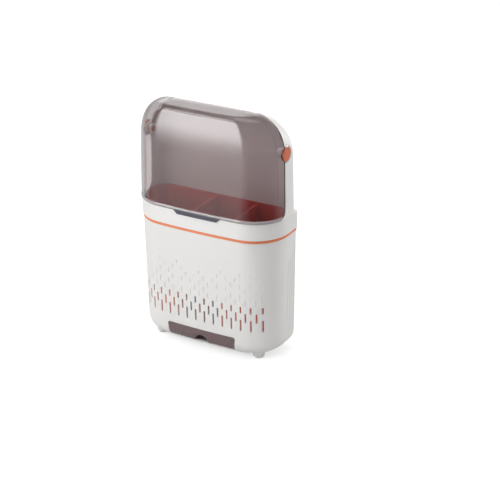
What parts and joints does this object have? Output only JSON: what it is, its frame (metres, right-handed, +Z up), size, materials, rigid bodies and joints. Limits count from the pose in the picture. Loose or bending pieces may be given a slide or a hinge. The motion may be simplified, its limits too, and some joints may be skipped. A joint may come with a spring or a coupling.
{
  "type": "chopstick holder with flip lid",
  "caption": "Tall narrow kitchen caddy for chopsticks and cutlery: vented body, lift-out basket, flip-up clear hood on side pins and a slide-out drip tray.",
  "frame": {"origin": "on the floor under the middle of the object's box", "axes": "+X to the right seen from the front, +Y to the flat back, +Z up"},
  "size_m": [0.19, 0.072, 0.3],
  "materials": {
    "white_shell": "warm white moulded plastic with a fine satin grain",
    "orange_basket": "orange-red moulded plastic, satin",
    "orange_pin": "orange moulded plastic, smooth",
    "smoked_clear": "smoked brown clear plastic, glossy",
    "smoked_tray": "smoked brown clear plastic, glossy",
    "dark_grip": "dark soft plastic",
    "foot_pad": "pale soft pad"
  },
  "bodies": {
    "body": {"body_shell": "white_shell", "foot_front_left": "foot_pad", "foot_front_right": "foot_pad", "foot_rear_left": "foot_pad", "foot_rear_right": "foot_pad"},
    "basket": {"basket": "orange_basket"},
    "divider_left": {"divider_left": "orange_basket"},
    "divider_right": {"divider_right": "orange_basket"},
    "frame": {"upper_frame": "white_shell", "hinge_pin_left": "orange_pin", "hinge_pin_right": "orange_pin"},
    "lid": {"lid": "smoked_clear", "lid_grip": "dark_grip"},
    "tray": {"drip_tray": "smoked_tray"}
  },
  "joints": [
    {"name": "basket_lift", "type": "slide", "parent": "body", "child": "basket", "axis": [0, 0, 1], "range_m": [0, 0.13]},
    {"name": "frame_lift", "type": "slide", "parent": "basket", "child": "frame", "axis": [0, 0, 1], "range_m": [0, 0.03]},
    {"name": "lid_flip", "type": "hinge", "parent": "frame", "child": "lid", "pos_m": [0, 0.007, 0.2555], "axis": [-1, 0, 0], "range_deg": [0, 62]},
    {"name": "divider_left_lift", "type": "slide", "parent": "basket", "child": "divider_left", "axis": [0, 0, 1], "range_m": [0, 0.09]},
    {"name": "divider_right_lift", "type": "slide", "parent": "basket", "child": "divider_right", "axis": [0, 0, 1], "range_m": [0, 0.09]},
    {"name": "tray_slide", "type": "slide", "parent": "body", "child": "tray", "axis": [0, -1, 0], "range_m": [0, 0.05]}
  ]
}
